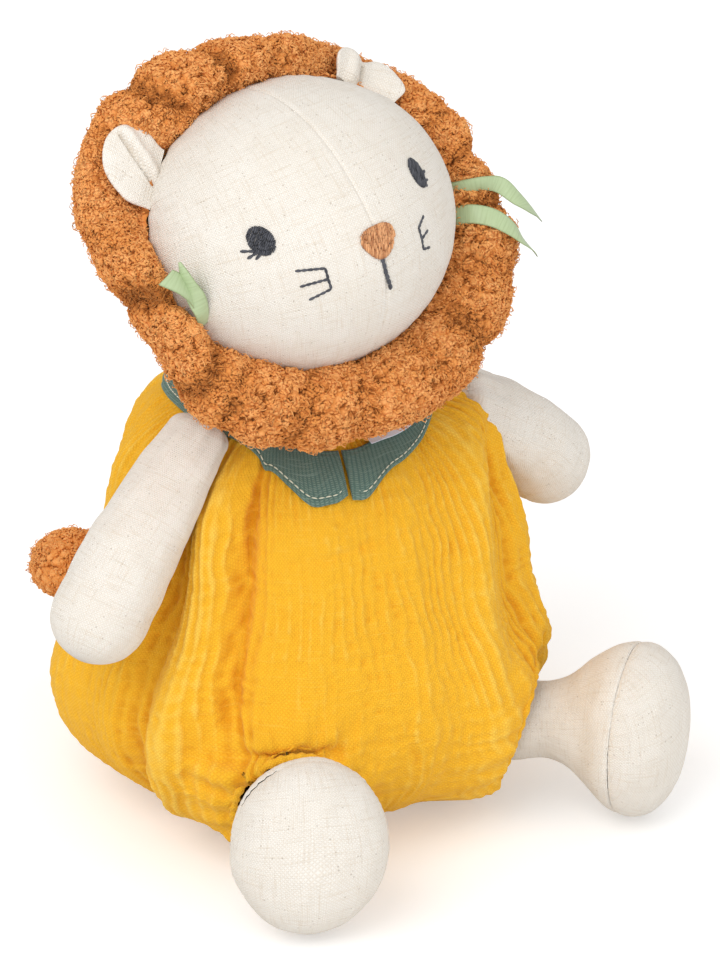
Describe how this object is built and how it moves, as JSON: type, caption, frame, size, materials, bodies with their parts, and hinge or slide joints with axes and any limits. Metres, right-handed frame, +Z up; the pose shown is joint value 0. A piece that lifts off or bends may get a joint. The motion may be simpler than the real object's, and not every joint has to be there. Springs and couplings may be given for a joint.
{
  "type": "plush lion",
  "caption": "Seated plush lion with a curly ring mane, linen face and limbs, and a gathered romper with a round collar.",
  "frame": {"origin": "middle of the flat seat, under the romper, at the height of the surface the lion sits on", "axes": "+Z up; the lion's chest faces -Y, so its own left side is +X"},
  "size_m": [0.1903, 0.2017, 0.2412],
  "materials": {
    "linen": "matte",
    "teddy": "matte",
    "gauze": "matte",
    "collar": "matte",
    "ribbon": "satin",
    "label": "satin",
    "dark_thread": "satin",
    "copper_thread": "satin",
    "filling": "matte"
  },
  "bodies": {
    "torso": {"torso_cover": "linen", "torso_filling": "filling", "romper_front": "gauze", "romper_back": "gauze", "leg_hem_right": "gauze", "leg_hem_left": "gauze", "collar_right": "collar", "collar_left": "collar", "collar_label": "label"},
    "neck": {"neck_plug": "linen"},
    "head": {"face_right": "linen", "face_left": "linen", "head_back": "teddy", "head_filling": "filling", "mane_cover": "teddy", "mane_filling": "filling", "nose": "copper_thread", "mouth_stitch": "dark_thread", "eye_right": "dark_thread", "eye_left": "dark_thread", "whiskers_right": "dark_thread", "whiskers_left": "dark_thread", "ribbon_right_upper": "ribbon", "ribbon_right_lower": "ribbon", "ribbon_left_upper": "ribbon", "ribbon_left_lower": "ribbon"},
    "ear_right": {"ear_right_front": "linen", "ear_right_back": "linen"},
    "ear_left": {"ear_left_front": "linen", "ear_left_back": "linen"},
    "arm_right": {"arm_right_cover": "linen", "arm_right_filling": "filling"},
    "arm_left": {"arm_left_cover": "linen", "arm_left_filling": "filling"},
    "leg_right": {"leg_right_cover": "linen", "sole_right": "linen", "leg_right_filling": "filling"},
    "leg_left": {"leg_left_cover": "linen", "sole_left": "linen", "leg_left_filling": "filling"},
    "tail": {"tail_cord": "linen", "tail_tuft": "teddy"}
  },
  "joints": [
    {"name": "head_turn", "type": "hinge", "parent": "torso", "child": "neck", "pos_m": [-0.001, -0.008, 0.1376], "axis": [0, 0, 1], "range_deg": [-15, 15]},
    {"name": "head_nod", "type": "hinge", "parent": "neck", "child": "head", "pos_m": [-0.001, -0.008, 0.1376], "axis": [1, 0, 0], "range_deg": [-15, 0]},
    {"name": "ear_right_fold", "type": "hinge", "parent": "head", "child": "ear_right", "pos_m": [-0.0556, -0.0165, 0.2098], "axis": [0.4501, 0.4951, 0.7432], "range_deg": [0, 25]},
    {"name": "ear_left_fold", "type": "hinge", "parent": "head", "child": "ear_left", "pos_m": [0.02, -0.0056, 0.2228], "axis": [0.7776, -0.3112, -0.5464], "range_deg": [0, 25]},
    {"name": "arm_right_lift", "type": "hinge", "parent": "torso", "child": "arm_right", "pos_m": [-0.0483, -0.0194, 0.1216], "axis": [-0.3733, 0.9277, 0], "range_deg": [0, 80]},
    {"name": "arm_left_lift", "type": "hinge", "parent": "torso", "child": "arm_left", "pos_m": [0.0483, -0.0194, 0.1216], "axis": [-0.3733, -0.9277, 0], "range_deg": [0, 80]},
    {"name": "leg_right_lift", "type": "hinge", "parent": "torso", "child": "leg_right", "pos_m": [-0.0364, -0.0665, 0.028], "axis": [-0.96, 0.28, 0], "range_deg": [0, 10]},
    {"name": "leg_left_lift", "type": "hinge", "parent": "torso", "child": "leg_left", "pos_m": [0.0478, -0.0526, 0.028], "axis": [-0.663, -0.7486, 0], "range_deg": [0, 12]},
    {"name": "tail_swing", "type": "hinge", "parent": "torso", "child": "tail", "pos_m": [0, 0.073, 0.0302], "axis": [0, 0, -1], "range_deg": [0, 120]}
  ]
}
